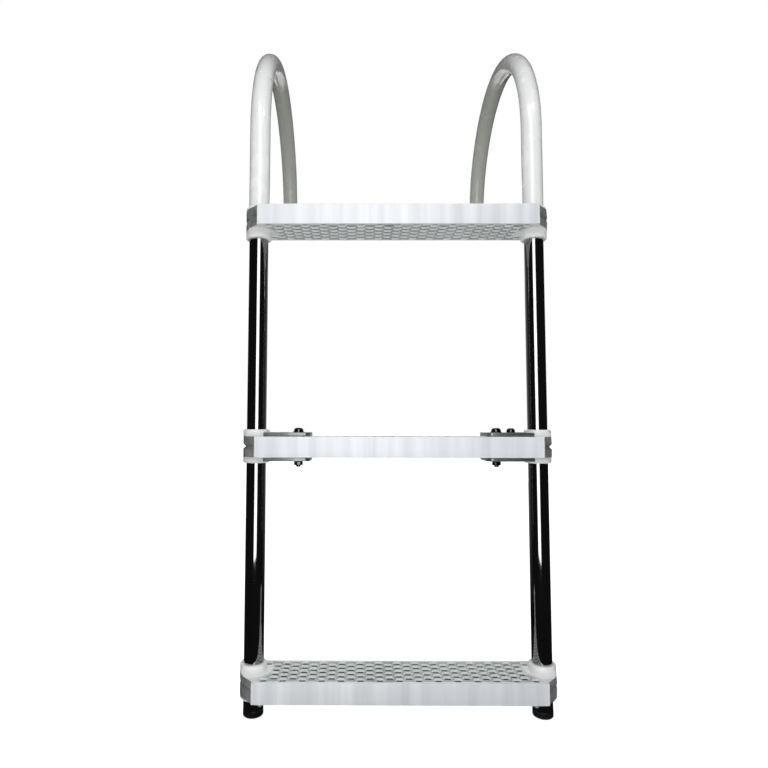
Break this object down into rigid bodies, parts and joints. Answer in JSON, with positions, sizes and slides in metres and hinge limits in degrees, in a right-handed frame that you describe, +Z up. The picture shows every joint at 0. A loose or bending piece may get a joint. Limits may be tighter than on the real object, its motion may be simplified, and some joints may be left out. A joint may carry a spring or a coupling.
{
  "type": "hook ladder",
  "caption": "Portable dock or boarding ladder: two tube rails that bend into covered hooks, open cellular steps with tall bosses, and foot plugs.",
  "frame": {"origin": "middle of the top step's back face, which rests against the dock's side", "axes": "+Z up along the rails, +Y through the back face towards the dock, +X to the right of someone who faces the steps"},
  "size_m": [0.402, 0.4046, 0.9566],
  "materials": {
    "rail_metal": "polished",
    "hook_vinyl": "soft gloss",
    "foot_rubber": "satin",
    "tread_metal": "cast, satin",
    "strip_metal": "anodised, satin",
    "plate_metal": "satin",
    "fastener_steel": "polished"
  },
  "bodies": {
    "root": {"rail_left": "rail_metal", "hook_cover_left": "hook_vinyl", "hook_plug_left": "foot_rubber", "foot_cap_left": "foot_rubber", "plate_upper_left": "plate_metal", "plate_lower_left": "plate_metal", "bolt_left": "fastener_steel", "nut_left": "fastener_steel", "washer_upper_left": "fastener_steel", "washer_lower_left": "fastener_steel", "rail_right": "rail_metal", "hook_cover_right": "hook_vinyl", "hook_plug_right": "foot_rubber", "foot_cap_right": "foot_rubber", "plate_upper_right": "plate_metal", "plate_lower_right": "plate_metal", "bolt_right": "fastener_steel", "nut_right": "fastener_steel", "washer_upper_right": "fastener_steel", "washer_lower_right": "fastener_steel", "tread_top": "tread_metal", "front_strip_top": "strip_metal", "back_strip_top": "strip_metal", "tread_middle": "tread_metal", "front_strip_middle": "strip_metal", "back_strip_middle": "strip_metal", "tread_bottom": "tread_metal", "front_strip_bottom": "strip_metal", "back_strip_bottom": "strip_metal", "button_pin_right": "fastener_steel"}
  },
  "joints": []
}
